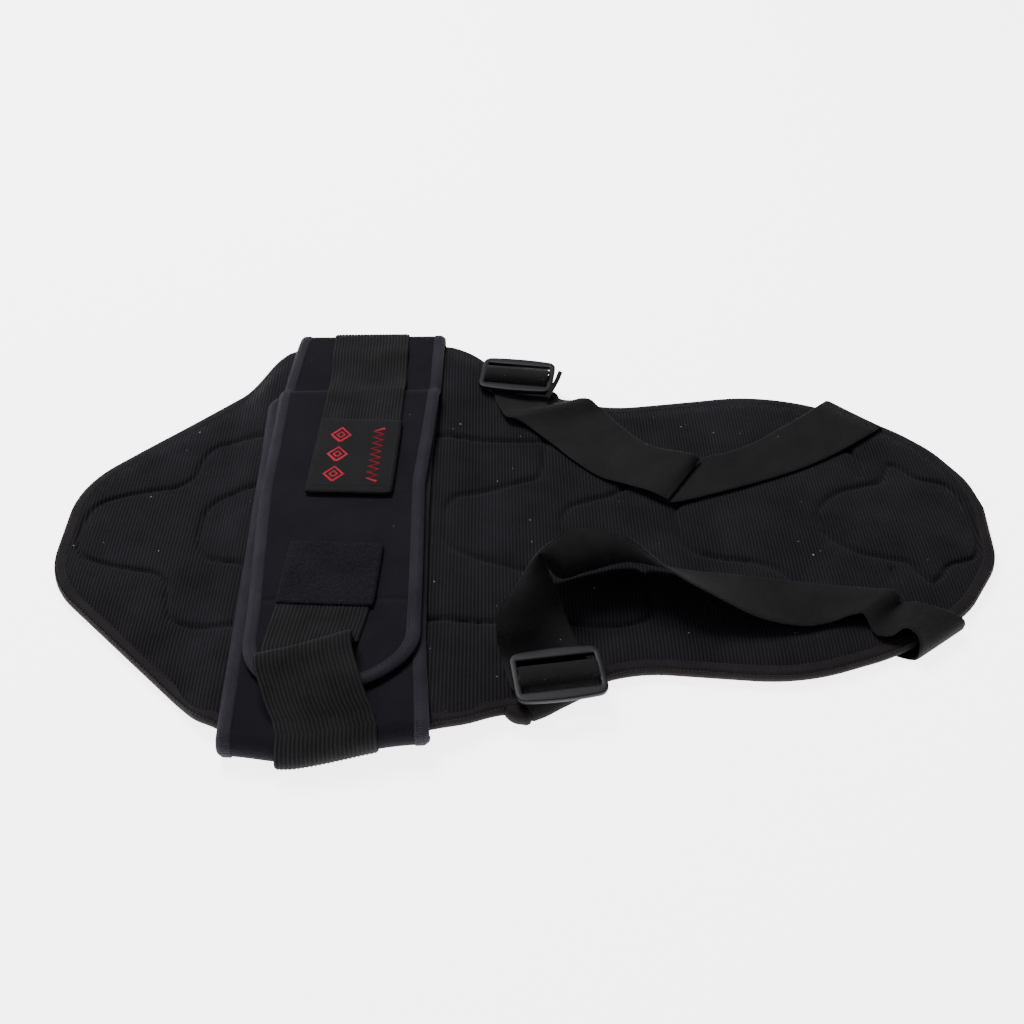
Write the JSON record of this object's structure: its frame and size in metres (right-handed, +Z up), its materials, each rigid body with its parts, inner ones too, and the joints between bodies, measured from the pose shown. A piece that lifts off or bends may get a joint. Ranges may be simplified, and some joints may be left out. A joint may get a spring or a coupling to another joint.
{
  "type": "back brace",
  "caption": "Quilted back support panel with a folded waist belt, elastic pull straps and two shoulder straps with sliders, lying flat.",
  "frame": {"origin": "centre of the waist belt on the panel's long axis, on the lying surface", "axes": "+X along the panel towards the shoulder end, +Y to the side of the far shoulder strap, +Z up from the lying surface towards the skin side"},
  "size_m": [0.5424, 0.3352, 0.0543],
  "materials": {
    "lining": "ribbed knit",
    "foam": "foam",
    "cover": "plain weave",
    "binding": "woven tape",
    "loop_fabric": "brushed loop",
    "elastic": "ribbed elastic",
    "strap": "smooth elastic",
    "hook": "hook and loop",
    "label": "woven label",
    "slider_plastic": "glossy"
  },
  "bodies": {
    "back_panel_and_belt": {"panel_lining": "lining", "panel_core": "foam", "spine_insert": "foam", "panel_cover": "cover", "panel_binding": "binding", "belt_back": "loop_fabric", "near_back_elastic": "elastic", "far_back_elastic": "elastic", "near_upper_anchor": "strap", "near_lower_anchor": "strap", "far_upper_anchor": "strap", "far_lower_anchor": "strap"},
    "near_belt_wing": {"near_wing": "loop_fabric", "near_wing_binding": "binding"},
    "far_belt_wing": {"far_wing": "loop_fabric", "far_wing_binding": "binding", "far_wing_hook": "hook"},
    "near_pull_strap": {"near_strap": "elastic", "near_strap_patch": "hook"},
    "far_pull_strap": {"far_strap": "elastic", "far_strap_hook": "hook", "far_strap_label": "label"},
    "near_arm_loop": {"near_shoulder_strap": "strap"},
    "near_slider_carriage": {"near_slider_loop": "strap"},
    "near_slider_frame": {"near_slider": "slider_plastic"},
    "far_arm_loop": {"far_shoulder_strap": "strap"},
    "far_slider_carriage": {"far_slider_loop": "strap"},
    "far_slider_frame": {"far_slider": "slider_plastic"}
  },
  "joints": [
    {"name": "far_belt_wing_fold", "type": "hinge", "parent": "back_panel_and_belt", "child": "far_belt_wing", "pos_m": [0, 0.1578, 0.0166], "axis": [-1, 0, 0], "range_deg": [0, 23]},
    {"name": "near_belt_wing_fold", "type": "hinge", "parent": "back_panel_and_belt", "child": "near_belt_wing", "pos_m": [0, -0.1578, 0.0166], "axis": [1, 0, 0], "range_deg": [0, 3.6]},
    {"name": "near_pull_strap_peel", "type": "hinge", "parent": "back_panel_and_belt", "child": "near_pull_strap", "pos_m": [0.003, -0.1579, 0.0182], "axis": [1, 0, 0], "range_deg": [0, 168]},
    {"name": "far_pull_strap_peel", "type": "hinge", "parent": "far_belt_wing", "child": "far_pull_strap", "pos_m": [0.0048, 0.1553, 0.0182], "axis": [-1, 0, 0], "range_deg": [0, 140]},
    {"name": "near_arm_loop_swing", "type": "hinge", "parent": "back_panel_and_belt", "child": "near_arm_loop", "pos_m": [0.121, -0.1499, 0.0017], "axis": [0.9748, 0.2185, 0.0461], "range_deg": [0, 140]},
    {"name": "near_slider_adjust", "type": "slide", "parent": "near_arm_loop", "child": "near_slider_carriage", "axis": [0.1305, -0.9914, 0], "range_m": [0, 0.02]},
    {"name": "near_slider_tilt", "type": "hinge", "parent": "near_slider_carriage", "child": "near_slider_frame", "pos_m": [0.118, -0.119, 0.0159], "axis": [0.9914, 0.1305, 0], "range_deg": [-8, 8]},
    {"name": "far_arm_loop_swing", "type": "hinge", "parent": "back_panel_and_belt", "child": "far_arm_loop", "pos_m": [0.108, 0.1573, 0.0017], "axis": [-0.9758, 0.2143, -0.0438], "range_deg": [0, 140]},
    {"name": "far_slider_adjust", "type": "slide", "parent": "far_arm_loop", "child": "far_slider_carriage", "axis": [0.1219, 0.9925, 0], "range_m": [0, 0.02]},
    {"name": "far_slider_tilt", "type": "hinge", "parent": "far_slider_carriage", "child": "far_slider_frame", "pos_m": [0.105, 0.136, 0.0159], "axis": [0.9925, -0.1219, 0], "range_deg": [-8, 8]}
  ],
  "couplings": [
    {"joint": "near_pull_strap_peel", "follows": "far_belt_wing_fold", "ratio": 7.3},
    {"joint": "near_belt_wing_fold", "follows": "far_belt_wing_fold", "ratio": 0.15}
  ]
}
